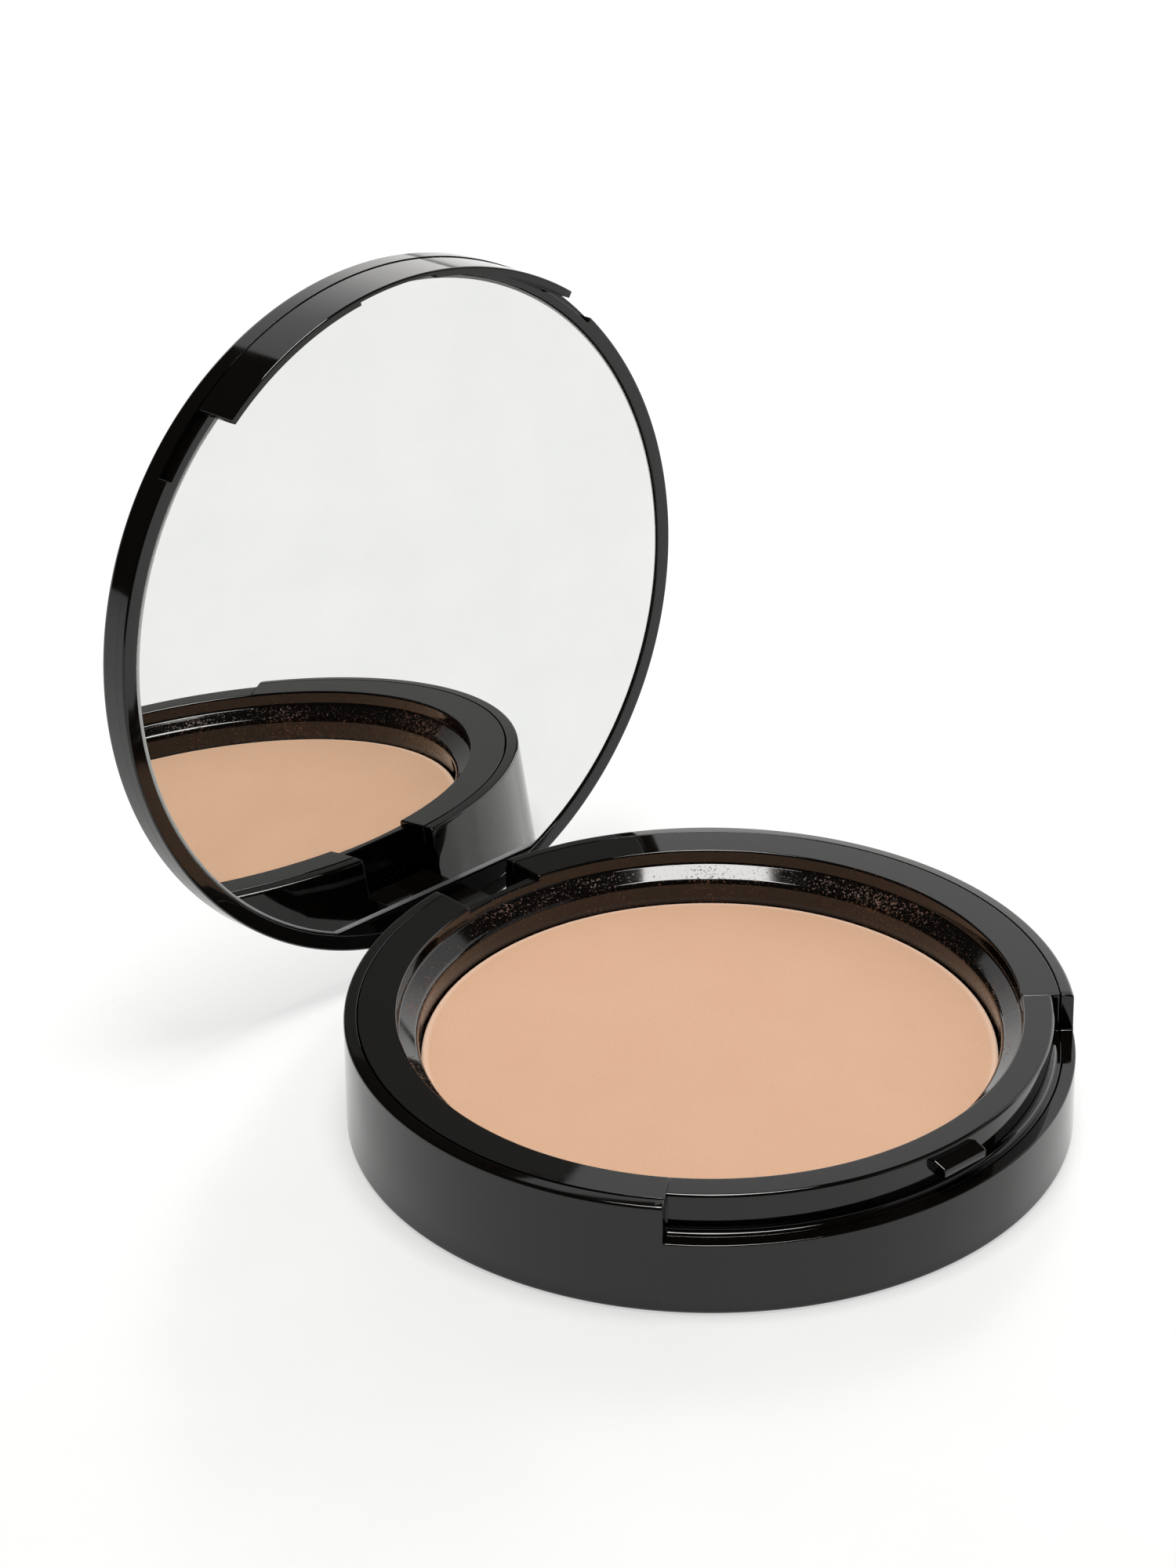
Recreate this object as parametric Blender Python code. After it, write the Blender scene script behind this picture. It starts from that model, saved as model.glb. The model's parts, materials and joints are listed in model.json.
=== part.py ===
"""A round pressed-powder compact, standing open: base, powder pan, hinged lid and mirror.

Dimensions are in millimetres and are turned into metres when a mesh is made. The origin is
the middle of the base's underside, +Z is up, the latch is at -Y and the hinge at +Y. The
lid's pieces are drawn in their closed place and ride an empty on the hinge axis.
"""

import math

import bmesh
import bpy

MM = 0.001

# Base
CASE_R = 37.5
CASE_IN_R = 36.15
CASE_FLOOR = 1.2
CASE_FOOT_ROUND = 0.5
BAND_TOP_IN = 12.33
BAND_TOP_OUT = 12.24
LEDGE_Z = 8.1
NOTCH_HALF_DEG = 50.3

# Pan holder inside the base
HOLDER_R = 36.0
HOLDER_TOP = 12.38
WELL_R = 32.0
BORE_R = 29.85
SLEEVE_R = 31.2
HOLDER_BOTTOM = 1.45
HOLDER_FLOOR = 2.45
FLANGE_UNDER = 8.7
SKIRT_UNDER = 7.6
SKIRT_HALF_DEG = 52.3
NOTCH_WALL_R = 35.2

# Catch on the front of the holder
CATCH_HALF_W = 2.9
CATCH_OUT_Y = -36.55

# Powder
PAN_R = 29.5
PAN_BOTTOM = 2.65
PAN_TOP = 6.7
PAN_WALL = 0.3
CAKE_R = 29.64
CAKE_TOP = 7.45

# Hinge
AXIS_Y = 35.75
AXIS_Z = 5.86
OPEN_DEG = 96.38
BARREL_R = 1.6
BARREL_HOLE_R = 0.76
ARM_HALF_W = 4.5
SLOT_HALF_W = 4.9
SLOT_FLOOR = 3.85
SLOT_IN_Y = 32.95
PIN_R = 0.6
PIN_HOLE_R = 0.68
PIN_LEFT = -7.4
PIN_RIGHT = 7.6
BLOCK_HALF_W = 8.6
BLOCK_TOP = 8.5

# Lid, in its closed place
RIM_Z = 12.53
PARTING_Z = 13.71
COVER_Z = 13.76
LID_TOP = 16.50
LID_ROUND = 0.75
COVER_IN_R = 36.7
FRAME_IN_R = 35.8
FRAME_WALL_R = 36.55
PLATE_Z = 14.2
PLATE_TOP = 15.1
COVER_CEILING = 15.2
CHORD_Y = 32.9
FILL_Z = 12.62
FILL_TOP = 14.6
LIP_IN_R = 36.6
LIP_OUT_R = 37.4
LIP_BOTTOM = 8.35
LIP_HALF_DEG = 39.0
RECESS_HALF_DEG = 50.4
RECESS_R = 36.75
POCKET_R = 36.95
POCKET_HALF_DEG = 7.9
MIRROR_R = 35.7
MIRROR_Z = 12.62
MIRROR_BACK = 13.90
MIRROR_BEVEL = 0.3

# Label under the base
LABEL_HALF_X = 14.0
LABEL_HALF_Y = 6.0
LABEL_Y = -18.0
LABEL_THICK = 0.10
LABEL_POCKET = 0.16

ROUND_STEPS = 96
SMALL_STEPS = 64


def clear_scene():
    for obj in list(bpy.data.objects):
        bpy.data.objects.remove(obj, do_unlink=True)


def material(name, colour, roughness, metallic=0.0):
    made = bpy.data.materials.new(name)
    made.use_nodes = True
    shader = made.node_tree.nodes["Principled BSDF"]
    shader.inputs["Base Color"].default_value = (*colour, 1.0)
    shader.inputs["Roughness"].default_value = roughness
    shader.inputs["Metallic"].default_value = metallic
    made.diffuse_color = (*colour, 1.0)
    return made


def finish(name, bm, mat, parent=None, offset=(0.0, 0.0, 0.0)):
    """Object from a bmesh in millimetres, moved by -offset so that it hangs on its parent."""
    bmesh.ops.recalc_face_normals(bm, faces=bm.faces)
    bmesh.ops.translate(bm, verts=bm.verts, vec=[-value for value in offset])
    bmesh.ops.scale(bm, verts=bm.verts, vec=(MM, MM, MM))
    mesh = bpy.data.meshes.new(name)
    bm.to_mesh(mesh)
    bm.free()
    obj = bpy.data.objects.new(name, mesh)
    bpy.context.scene.collection.objects.link(obj)
    if mat is not None:
        mesh.materials.append(mat)
    obj.parent = parent
    return obj


def lathe(profile, steps, first=0.0, last=360.0):
    """Solid turned from a closed (r, z) profile, from angle first to last about -Y."""
    bm = bmesh.new()
    whole = abs(last - first) >= 360.0
    count = steps if whole else steps + 1
    rings = []
    for step in range(count):
        turn = math.radians(first + (last - first) * step / steps)
        side, front = math.sin(turn), -math.cos(turn)
        ring = []
        for at, (r, z) in enumerate(profile):
            if r == 0.0 and rings:
                ring.append(rings[0][at])
            else:
                ring.append(bm.verts.new((r * side, r * front, z)))
        rings.append(ring)
    corners = len(profile)
    for step in range(steps):
        here, there = rings[step], rings[(step + 1) % count]
        for at in range(corners):
            after = (at + 1) % corners
            loop = [here[at], here[after], there[after], there[at]]
            loop = [v for i, v in enumerate(loop) if v not in loop[:i]]
            if len(loop) > 2:
                bm.faces.new(loop)
    if not whole:
        bm.faces.new(rings[0])
        bm.faces.new(list(reversed(rings[-1])))
    return bm


def prism_x(outline, half_width, centre=0.0):
    """Solid from a (y, z) outline pushed out along X."""
    bm = bmesh.new()
    left = [bm.verts.new((centre - half_width, y, z)) for y, z in outline]
    right = [bm.verts.new((centre + half_width, y, z)) for y, z in outline]
    close_prism(bm, left, right)
    return bm


def prism_z(outline, low, high):
    """Solid from an (x, y) outline pushed out along Z."""
    bm = bmesh.new()
    under = [bm.verts.new((x, y, low)) for x, y in outline]
    over = [bm.verts.new((x, y, high)) for x, y in outline]
    close_prism(bm, under, over)
    return bm


def close_prism(bm, first, second):
    count = len(first)
    bm.faces.new(first)
    bm.faces.new(list(reversed(second)))
    for at in range(count):
        after = (at + 1) % count
        bm.faces.new([first[after], first[at], second[at], second[after]])


def box_outline(low_a, high_a, low_b, high_b):
    return [(low_a, low_b), (high_a, low_b), (high_a, high_b), (low_a, high_b)]


def arc(centre, radius, first, last, steps):
    """Points of an arc, angles in degrees from the first coordinate's axis."""
    points = []
    for step in range(steps + 1):
        turn = math.radians(first + (last - first) * step / steps)
        points.append((centre[0] + radius * math.cos(turn), centre[1] + radius * math.sin(turn)))
    return points


def segment_outline(radius, chord_y, steps, beyond):
    """Disc outline cut by the line y = chord_y: the side beyond it, or the side before it."""
    turn = math.degrees(math.asin(chord_y / radius))
    if beyond:
        return arc((0.0, 0.0), radius, turn, 180.0 - turn, steps)
    return arc((0.0, 0.0), radius, 180.0 - turn, 360.0 + turn, steps)


def rounded_box(half_x, half_y, radius, centre_y, steps=5):
    points = []
    corners = ((1, 1, 0.0), (-1, 1, 90.0), (-1, -1, 180.0), (1, -1, 270.0))
    for sx, sy, turn in corners:
        middle = (sx * (half_x - radius), centre_y + sy * (half_y - radius))
        points += arc(middle, radius, turn, turn + 90.0, steps)
    return points


def cutter(name, bm, parent=None, offset=(0.0, 0.0, 0.0)):
    obj = finish(name, bm, None, parent, offset)
    obj.hide_render = True
    obj.display_type = "WIRE"
    return obj


def boolean(obj, tool, operation):
    modifier = obj.modifiers.new(operation.lower() + "_" + tool.name, "BOOLEAN")
    modifier.operation = operation
    modifier.solver = "EXACT"
    modifier.object = tool


def smooth(obj, degrees=32.0):
    obj.data.shade_smooth()
    obj.data.set_sharp_from_angle(angle=math.radians(degrees))


def pin_line(radius, left, right, steps=24):
    """Round bar along X on the hinge axis."""
    middle = (left + right) / 2
    outline = arc((AXIS_Y, AXIS_Z), radius, 0.0, 360.0 - 360.0 / steps, steps - 1)
    return prism_x(outline, (right - left) / 2, middle)


# Base pieces


def base_case(mat):
    foot = CASE_FOOT_ROUND
    profile = [(0.0, 0.0)]
    profile += arc((CASE_R - foot, foot), foot, 270.0, 360.0, 4)
    profile += [(CASE_R, 11.94), (CASE_R - 0.08, 12.11), (CASE_R - 0.28, BAND_TOP_OUT)]
    profile += [(CASE_IN_R + 0.06, BAND_TOP_IN), (CASE_IN_R, BAND_TOP_IN - 0.06)]
    profile += [(CASE_IN_R, CASE_FLOOR), (0.0, CASE_FLOOR)]
    case = finish("base_case", lathe(profile, ROUND_STEPS), mat)
    block = prism_x(box_outline(32.6, 36.6, 0.8, BLOCK_TOP), BLOCK_HALF_W)
    boolean(case, cutter("case_block", block), "UNION")
    slot = prism_x(box_outline(SLOT_IN_Y, 41.0, SLOT_FLOOR, 14.0), SLOT_HALF_W)
    boolean(case, cutter("case_slot", slot), "DIFFERENCE")
    hole = pin_line(PIN_HOLE_R, PIN_LEFT - 0.15, 18.0)
    boolean(case, cutter("case_pin_hole", hole), "DIFFERENCE")
    notch = lathe(
        box_outline(34.0, 39.0, LEDGE_Z, 14.0), 40, -NOTCH_HALF_DEG, NOTCH_HALF_DEG
    )
    boolean(case, cutter("case_notch", notch), "DIFFERENCE")
    pocket = rounded_box(LABEL_HALF_X + 0.2, LABEL_HALF_Y + 0.2, 2.2, LABEL_Y)
    boolean(
        case, cutter("case_label_pocket", prism_z(pocket, -1.0, LABEL_POCKET)), "DIFFERENCE"
    )
    smooth(case)
    return case


def well_profile():
    """Inner side of the holder, from the top edge down to the bore."""
    return [
        (WELL_R + 0.22, HOLDER_TOP),
        (WELL_R + 0.06, HOLDER_TOP - 0.06),
        (WELL_R, HOLDER_TOP - 0.22),
        (WELL_R - 0.03, 10.98),
        (WELL_R - 0.14, 10.80),
        (31.55, 10.62),
        (30.45, 10.06),
        (30.12, 9.84),
        (29.92, 9.55),
        (BORE_R, 9.2),
        (BORE_R, HOLDER_FLOOR),
    ]


def pan_holder(mat):
    profile = [(0.0, HOLDER_BOTTOM), (SLEEVE_R, HOLDER_BOTTOM), (SLEEVE_R, FLANGE_UNDER)]
    profile += [(HOLDER_R, FLANGE_UNDER), (HOLDER_R, HOLDER_TOP - 0.07)]
    profile += [(HOLDER_R - 0.07, HOLDER_TOP)] + well_profile() + [(0.0, HOLDER_FLOOR)]
    holder = finish("pan_holder", lathe(profile, ROUND_STEPS), mat)
    skirt = lathe(
        box_outline(33.0, HOLDER_R - 0.01, SKIRT_UNDER, 9.2),
        40, -SKIRT_HALF_DEG, SKIRT_HALF_DEG,
    )
    boolean(holder, cutter("holder_skirt", skirt), "UNION")
    boolean(holder, cutter("holder_notch", notch_tool()), "DIFFERENCE")
    boolean(holder, cutter("holder_catch", catch_wedge()), "UNION")
    slot = prism_x(box_outline(SLOT_IN_Y, 40.0, 8.0, 14.0), SLOT_HALF_W)
    boolean(holder, cutter("holder_slot", slot), "DIFFERENCE")
    sill = prism_x(box_outline(29.0, 34.0, 11.85, 14.0), SLOT_HALF_W)
    boolean(holder, cutter("holder_sill", sill), "DIFFERENCE")
    smooth(holder)
    return holder


def notch_tool():
    """Front notch with a fillet on the ledge and a rounded upper edge."""
    wall, top = NOTCH_WALL_R, HOLDER_TOP
    outline = [(39.0, LEDGE_Z), (wall + 0.5, LEDGE_Z), (wall + 0.23, LEDGE_Z + 0.08)]
    outline += [(wall + 0.07, LEDGE_Z + 0.23), (wall, LEDGE_Z + 0.5), (wall, top - 0.95)]
    outline += [(wall - 0.08, top - 0.6), (wall - 0.28, top - 0.3), (wall - 0.6, top - 0.09)]
    outline += [(wall - 0.95, top + 0.02), (wall - 0.95, 14.0), (39.0, 14.0)]
    return lathe(outline, 40, -NOTCH_HALF_DEG - 0.2, NOTCH_HALF_DEG + 0.2)


def catch_wedge():
    outline = [(-34.8, 11.45), (CATCH_OUT_Y + 0.15, 11.02), (CATCH_OUT_Y, 10.85)]
    outline += [(CATCH_OUT_Y, 10.25), (CATCH_OUT_Y + 0.3, 9.9), (-34.8, 9.9)]
    return prism_x(outline, CATCH_HALF_W)


def powder_pan(mat):
    inner = PAN_R - PAN_WALL
    profile = [(0.0, PAN_BOTTOM), (PAN_R - 0.4, PAN_BOTTOM), (PAN_R - 0.1, PAN_BOTTOM + 0.1)]
    profile += [(PAN_R, PAN_BOTTOM + 0.4), (PAN_R, PAN_TOP), (inner, PAN_TOP)]
    profile += [(inner, PAN_BOTTOM + 0.6), (inner - 0.25, PAN_BOTTOM + PAN_WALL)]
    profile += [(0.0, PAN_BOTTOM + PAN_WALL)]
    pan = finish("powder_pan", lathe(profile, SMALL_STEPS), mat)
    smooth(pan)
    return pan


def powder_cake(mat):
    inner = PAN_R - PAN_WALL - 0.06
    floor = PAN_BOTTOM + PAN_WALL + 0.06
    profile = [(0.0, floor), (inner - 0.3, floor), (inner, floor + 0.3), (inner, PAN_TOP + 0.06)]
    profile += [(CAKE_R - 0.1, PAN_TOP + 0.08), (CAKE_R, PAN_TOP + 0.25)]
    profile += [(CAKE_R - 0.08, CAKE_TOP - 0.25), (CAKE_R - 0.45, CAKE_TOP - 0.09)]
    profile += [(CAKE_R - 1.6, CAKE_TOP - 0.03), (CAKE_R - 9.0, CAKE_TOP), (0.0, CAKE_TOP)]
    cake = finish("powder_cake", lathe(profile, SMALL_STEPS), mat)
    smooth(cake)
    return cake


def pan_adhesive(mat):
    outline = arc((0.0, 0.0), 18.0, 0.0, 350.0, 35)
    return finish("pan_adhesive", prism_z(outline, HOLDER_FLOOR + 0.03, PAN_BOTTOM - 0.03), mat)


def hinge_pin(mat):
    pin = finish("hinge_pin", pin_line(PIN_R, PIN_LEFT, PIN_RIGHT), mat)
    smooth(pin)
    return pin


def base_label(mat):
    outline = rounded_box(LABEL_HALF_X, LABEL_HALF_Y, 2.0, LABEL_Y)
    return finish("base_label", prism_z(outline, 0.04, 0.04 + LABEL_THICK), mat)


# Lid pieces


def lid_hinge():
    hinge = bpy.data.objects.new("lid_hinge", None)
    bpy.context.scene.collection.objects.link(hinge)
    hinge.location = (0.0, AXIS_Y * MM, AXIS_Z * MM)
    hinge.rotation_euler = (math.radians(-OPEN_DEG), 0.0, 0.0)
    return hinge


def lid_cover(mat, place):
    profile = [(COVER_IN_R, COVER_Z), (CASE_R - 0.08, COVER_Z), (CASE_R, COVER_Z + 0.08)]
    middle = (CASE_R - LID_ROUND, LID_TOP - LID_ROUND)
    profile += arc(middle, LID_ROUND, 0.0, 90.0, 5)
    profile += [(0.0, LID_TOP), (0.0, COVER_CEILING), (COVER_IN_R, COVER_CEILING)]
    cover = finish("lid_cover", lathe(profile, ROUND_STEPS), mat, *place)
    smooth(cover)
    return cover


def lid_frame(mat, place):
    profile = [(FRAME_IN_R, RIM_Z + 0.16), (FRAME_IN_R + 0.16, RIM_Z), (CASE_R - 0.25, RIM_Z)]
    profile += [(CASE_R - 0.07, RIM_Z + 0.07), (CASE_R, RIM_Z + 0.25)]
    profile += [(CASE_R, PARTING_Z - 0.07), (CASE_R - 0.07, PARTING_Z)]
    profile += [(FRAME_WALL_R, PARTING_Z), (FRAME_WALL_R, PLATE_TOP), (0.0, PLATE_TOP)]
    profile += [(0.0, PLATE_Z), (FRAME_IN_R, PLATE_Z)]
    frame = finish("lid_frame", lathe(profile, ROUND_STEPS), mat, *place)
    fill = prism_z(segment_outline(36.3, CHORD_Y + 0.2, 18, True), FILL_Z, FILL_TOP)
    boolean(frame, cutter("frame_fill", fill, *place), "UNION")
    for side, name in ((-1, "left"), (1, "right")):
        ends = sorted((side * (LIP_HALF_DEG - 0.5), side * RECESS_HALF_DEG))
        recess = lathe(box_outline(RECESS_R, 39.0, 12.0, PARTING_Z + 0.02), 10, *ends)
        boolean(frame, cutter("frame_recess_" + name, recess, *place), "DIFFERENCE")
    boolean(frame, cutter("frame_lip", lip_sector(), *place), "UNION")
    pocket = lathe(
        box_outline(36.0, POCKET_R, 8.0, 11.9), 10, -POCKET_HALF_DEG, POCKET_HALF_DEG
    )
    boolean(frame, cutter("frame_pocket", pocket, *place), "DIFFERENCE")
    boolean(frame, cutter("frame_arm", arm_outline_solid(), *place), "UNION")
    hole = pin_line(BARREL_HOLE_R, -ARM_HALF_W - 1.0, ARM_HALF_W + 1.0)
    boolean(frame, cutter("frame_pin_hole", hole, *place), "DIFFERENCE")
    smooth(frame)
    return frame


def lip_sector():
    outline = [(LIP_IN_R + 0.12, LIP_BOTTOM), (LIP_OUT_R - 0.22, LIP_BOTTOM)]
    outline += [(LIP_OUT_R - 0.06, LIP_BOTTOM + 0.06), (LIP_OUT_R, LIP_BOTTOM + 0.22)]
    outline += [(LIP_OUT_R, PARTING_Z - 0.2), (LIP_IN_R, PARTING_Z - 0.2)]
    outline += [(LIP_IN_R, LIP_BOTTOM + 0.12)]
    return lathe(outline, 32, -LIP_HALF_DEG, LIP_HALF_DEG)


def arm_outline_solid():
    """Hinge arm: a bar as thick as its barrel, from the axis up into the frame."""
    outline = arc((AXIS_Y, AXIS_Z), BARREL_R, 180.0, 360.0, 14)
    outline += [(AXIS_Y + BARREL_R, 13.3), (AXIS_Y - BARREL_R, 13.3)]
    return prism_x(outline, ARM_HALF_W)


def mirror(mats, place):
    """Glass disc with a straight edge at the hinge and a ground bevel round its face."""
    bevel = MIRROR_BEVEL
    face = segment_outline(MIRROR_R - bevel, CHORD_Y - bevel * 2, 72, False)
    edge = segment_outline(MIRROR_R, CHORD_Y, 72, False)
    bm = bmesh.new()
    loops = []
    for outline, z in ((face, MIRROR_Z), (edge, MIRROR_Z + 0.2), (edge, MIRROR_BACK)):
        loops.append([bm.verts.new((x, y, z)) for x, y in outline])
    count = len(edge)
    bm.faces.new(loops[0])
    bm.faces.new(list(reversed(loops[2])))
    for low, high in ((loops[0], loops[1]), (loops[1], loops[2])):
        for at in range(count):
            after = (at + 1) % count
            ring = bm.faces.new([low[after], low[at], high[at], high[after]])
            ring.material_index = 1
    glass = finish("mirror", bm, mats[0], *place)
    glass.data.materials.append(mats[1])
    smooth(glass, 20.0)
    return glass


def mirror_tape(mat, place):
    outline = segment_outline(32.0, 28.5, 44, False)
    return finish(
        "mirror_tape", prism_z(outline, MIRROR_BACK + 0.04, PLATE_Z - 0.04), mat, *place
    )


def build():
    clear_scene()
    case_black = material("case_black", (0.012, 0.011, 0.011), 0.08)
    holder_black = material("holder_black", (0.012, 0.011, 0.011), 0.08)
    lid_black = material("lid_black", (0.012, 0.011, 0.011), 0.08)
    frame_black = material("frame_black", (0.012, 0.011, 0.011), 0.08)
    pan_metal = material("pan_metal", (0.80, 0.80, 0.80), 0.3, 1.0)
    pressed_powder = material("pressed_powder", (0.73, 0.45, 0.27), 0.9)
    glue = material("glue", (0.75, 0.72, 0.62), 0.6)
    pin_steel = material("pin_steel", (0.60, 0.60, 0.60), 0.25, 1.0)
    label_paper = material("label_paper", (0.80, 0.80, 0.78), 0.5)
    mirror_silver = material("mirror_silver", (0.92, 0.93, 0.92), 0.02, 1.0)
    mirror_edge = material("mirror_edge", (0.80, 0.84, 0.82), 0.35)
    foam_tape = material("foam_tape", (0.85, 0.85, 0.83), 0.8)

    base_case(case_black)
    pan_holder(holder_black)
    powder_pan(pan_metal)
    powder_cake(pressed_powder)
    pan_adhesive(glue)
    hinge_pin(pin_steel)
    base_label(label_paper)

    place = (lid_hinge(), (0.0, AXIS_Y, AXIS_Z))
    lid_cover(lid_black, place)
    lid_frame(frame_black, place)
    mirror((mirror_silver, mirror_edge), place)
    mirror_tape(foam_tape, place)


build()
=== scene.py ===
"""Looks of a round powder compact, standing open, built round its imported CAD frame.

Outlines are in millimetres. A turned piece is a row of closed (r, z) outlines set round the
base's middle axis, with angles measured from the latch at -Y towards +X. The lid's pieces are
drawn closed and are then turned open about the hinge, as the frame's joint says.
"""

import json
import math

import bmesh
import bpy
from mathutils import Matrix, Vector, noise


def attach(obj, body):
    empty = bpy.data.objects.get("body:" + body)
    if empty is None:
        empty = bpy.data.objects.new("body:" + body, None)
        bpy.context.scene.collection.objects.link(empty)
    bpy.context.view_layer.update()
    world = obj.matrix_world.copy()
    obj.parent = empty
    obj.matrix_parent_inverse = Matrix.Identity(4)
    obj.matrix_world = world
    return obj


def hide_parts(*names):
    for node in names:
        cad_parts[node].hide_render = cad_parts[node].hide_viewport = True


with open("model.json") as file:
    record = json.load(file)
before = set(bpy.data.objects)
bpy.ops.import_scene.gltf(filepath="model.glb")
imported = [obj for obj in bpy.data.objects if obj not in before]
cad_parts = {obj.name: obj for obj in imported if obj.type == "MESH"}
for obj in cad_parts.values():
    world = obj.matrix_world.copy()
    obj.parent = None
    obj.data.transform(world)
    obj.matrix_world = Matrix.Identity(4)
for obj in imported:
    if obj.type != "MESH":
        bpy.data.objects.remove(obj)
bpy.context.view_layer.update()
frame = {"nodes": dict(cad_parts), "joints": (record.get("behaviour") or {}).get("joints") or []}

MM = 0.001
HINGE = frame["joints"][0]
HINGE_Y, HINGE_Z = HINGE["pos_m"][1] / MM, HINGE["pos_m"][2] / MM

# Base, in mm
CASE_R, CASE_IN_R, CASE_FLOOR_Z = 37.5, 36.15, 1.2
LEDGE_Z, NOTCH_DEG = 8.1, 50.3
SLOT_X, SLOT_Z, SLOT_Y = 4.9, 3.85, 32.95
HOLDER_R, HOLDER_TOP, WELL_R, BORE_R = 36.0, 12.38, 32.0, 29.85
CAKE_TOP = 7.45
PIN_R, PIN_BORE_R, BARREL_R = 0.6, 0.68, 1.6

# Lid in its closed place, in mm
RIM_Z, PARTING_Z, COVER_Z, LID_TOP = 12.53, 13.735, 13.75, 16.50
PLATE_Z, PLATE_TOP, CEILING_Z = 14.2, 15.1, 15.2
FRAME_R, CHORD_Y = 35.8, 32.9
LIP_IN, LIP_OUT, LIP_Z, LIP_DEG = 36.6, 37.4, 8.35, 38.1
RECESS_R, RECESS_DEG = 36.75, 50.4
POCKET_R, POCKET_DEG, POCKET_Z = 36.95, 7.9, 11.9
MIRROR_R, MIRROR_Z, MIRROR_BACK = 35.7, 12.62, 13.90

# Camera
CAM_AZ, CAM_EL, CAM_ROLL = -41.9504, 29.0868, -0.6326
CAM_OFFSET = (12.5691, -33.5158, -560.0145)
CAM_LENS = 124.275

# Stage: metres, and brightness of the cards by half their height in metres
STAGE_DROP = 0.05 * MM
FLOOR_GLOW = 0.58
CARD_R, CARD_LOW, CARD_HIGH = 2.0, 0.06, 2.0
BACK_POWER, SIDE_POWER = 2.0, 0.42
CARD_GLOW = ((0.30, (0.92, 0.91, 0.90)), (0.515, (0.60, 0.60, 0.60)),
             (0.60, (0.46, 0.46, 0.46)), (0.75, (0.40, 0.40, 0.40)))


# Outlines


def fillet(corners, steps=5):
    """Closed outline through corners (a, b, radius), each turned into an arc of that radius."""
    out = []
    count = len(corners)
    for at, (a, b, radius) in enumerate(corners):
        here = Vector((a, b))
        if radius <= 0.0:
            out.append((a, b))
            continue
        before = (Vector(corners[at - 1][:2]) - here).normalized()
        after = (Vector(corners[(at + 1) % count][:2]) - here).normalized()
        half = 0.5 * math.acos(max(-1.0, min(1.0, before.dot(after))))
        if half > math.radians(89.0):
            out += [(a, b)] * (steps + 1)
            continue
        middle = here + (before + after).normalized() * (radius / math.sin(half))
        reach = radius / math.tan(half)
        first, last = here + before * reach - middle, here + after * reach - middle
        sweep = first.angle_signed(last)
        for step in range(steps + 1):
            arm = first.copy()
            arm.rotate(Matrix.Rotation(-sweep * step / steps, 2))
            out.append((middle.x + arm.x, middle.y + arm.y))
    return out


def easing(radius):
    """Distances from a rounded edge, and how far the surface has dropped there."""
    steps = (1.0, 0.62, 0.3, 0.09, 0.0)
    return [(s * radius, radius - radius * math.sqrt(1 - (1 - s) ** 2)) for s in steps]


def at_deg(outline, degrees):
    turn = math.radians(degrees)
    return [(r * math.sin(turn), -r * math.cos(turn), z) for r, z in outline]


def at_x(outline, x):
    """Outline in the plane x at the hinge side. Inside r = 30 it fans in to the axis."""
    out = []
    for r, z in outline:
        side = x * min(1.0, r / 30.0)
        out.append((side, math.sqrt(max(0.0, r * r - side * side)), z))
    return out


def spread(first, last, step):
    """Even values from first to last, about a step apart, with neither end."""
    count = max(1, round(abs(last - first) / step))
    return [first + (last - first) * at / count for at in range(1, count)]


# Meshes


def place_piece(obj, body, material, nodes=()):
    obj.data.materials.append(material)
    if body == "lid":
        obj.matrix_world = LID_OPEN
    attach(obj, body)
    if nodes:
        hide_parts(*nodes)
    return obj


def to_object(name, bm, sharp=32.0, weighted=True):
    """Object from a bmesh in millimetres, with shading that keeps broad faces flat."""
    bmesh.ops.remove_doubles(bm, verts=bm.verts, dist=0.0004)
    bmesh.ops.dissolve_degenerate(bm, edges=bm.edges, dist=0.0002)
    bmesh.ops.recalc_face_normals(bm, faces=bm.faces)
    bmesh.ops.scale(bm, verts=bm.verts, vec=(MM, MM, MM))
    mesh = bpy.data.meshes.new(name)
    bm.to_mesh(mesh)
    bm.free()
    mesh.shade_smooth()
    mesh.set_sharp_from_angle(angle=math.radians(sharp))
    obj = bpy.data.objects.new(name, mesh)
    bpy.context.scene.collection.objects.link(obj)
    if weighted:
        weigh(obj)
    return obj


def weigh(obj):
    made = obj.modifiers.new("weighted", "WEIGHTED_NORMAL")
    made.mode = "FACE_AREA"
    made.weight = 50
    made.keep_sharp = True


def skin(bm, sections):
    """Closed tube through closed loops of points, round to the first loop again."""
    rings = [[bm.verts.new(point) for point in section] for section in sections]
    count = len(rings[0])
    for at, here in enumerate(rings):
        there = rings[(at + 1) % len(rings)]
        for i in range(count):
            j = (i + 1) % count
            bm.faces.new((here[i], there[i], there[j], here[j]))


def plate(bm, loops):
    """Closed solid through a stack of loops, with a flat face on the first and the last."""
    rings = [[bm.verts.new(point) for point in loop] for loop in loops]
    count = len(rings[0])
    for low, high in zip(rings, rings[1:]):
        for i in range(count):
            j = (i + 1) % count
            bm.faces.new((low[i], low[j], high[j], high[i]))
    bm.faces.new(list(reversed(rings[0])))
    bm.faces.new(rings[-1])


def block(bm, low, high, radius, segments=3):
    """Box with rounded edges."""
    made = bmesh.ops.create_cube(bm, size=1.0)["verts"]
    for vert in made:
        vert.co = [lo + (hi - lo) * (c + 0.5) for lo, hi, c in zip(low, high, vert.co)]
    edges = {edge for vert in made for edge in vert.link_edges}
    bmesh.ops.bevel(bm, geom=list(edges), offset=radius, segments=segments, affect="EDGES",
                    profile=0.5)


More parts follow.
